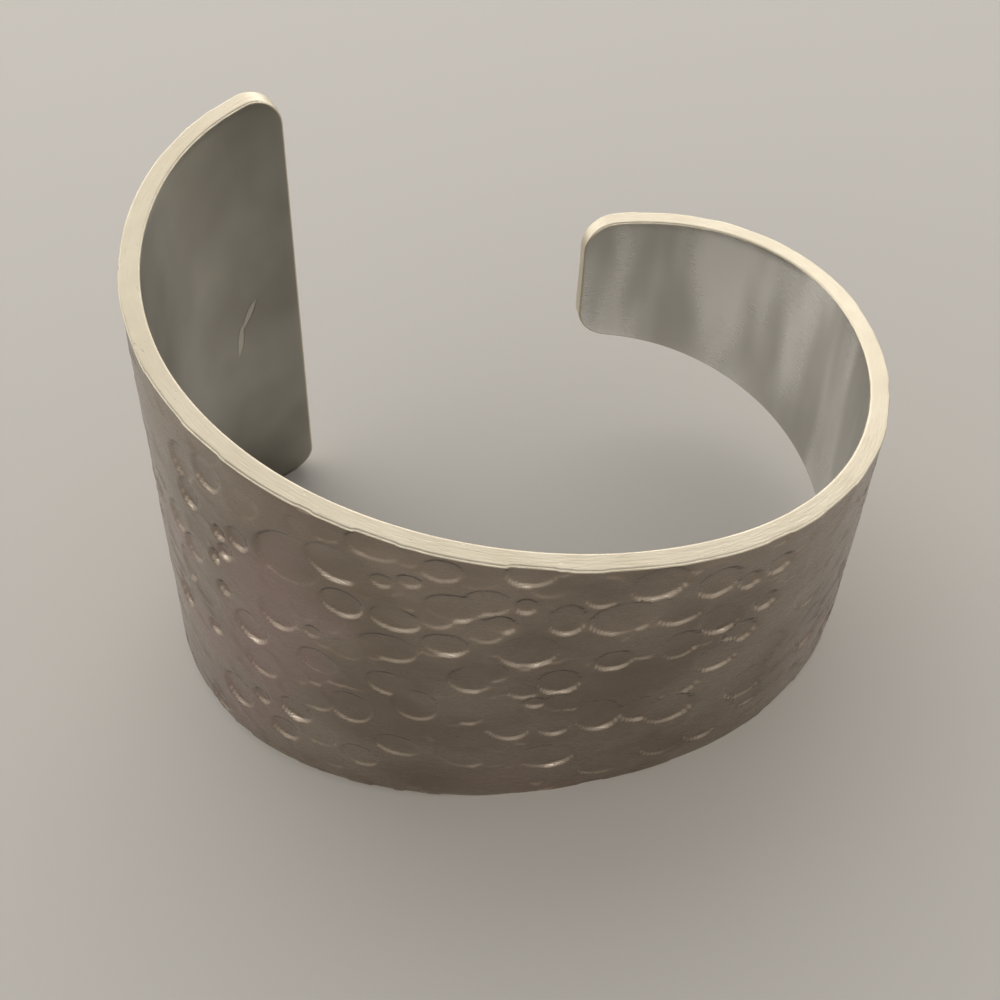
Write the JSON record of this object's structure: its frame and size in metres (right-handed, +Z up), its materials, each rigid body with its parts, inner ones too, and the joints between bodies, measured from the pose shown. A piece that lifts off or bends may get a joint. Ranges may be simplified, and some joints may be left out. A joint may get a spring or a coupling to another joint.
{
  "type": "cuff bracelet",
  "caption": "Open hammered metal cuff, bent from one strip that tapers from a wide end to a narrow end, with rounded corners and a smooth inner face.",
  "frame": {"origin": "on the table that the cuff rests on, under the middle of its bounding box", "axes": "+Z up, +Y towards the gap between the two ends, +X towards the narrow end's side; the wide end is on the -X side"},
  "size_m": [0.0682, 0.0596, 0.0505],
  "materials": {
    "hammered_aluminium": "satin aluminium: overlapping hammer marks outside, a filed and brushed rim, a smooth burnished inner face"
  },
  "bodies": {
    "root": {"cuff_band": "hammered_aluminium"}
  },
  "joints": []
}
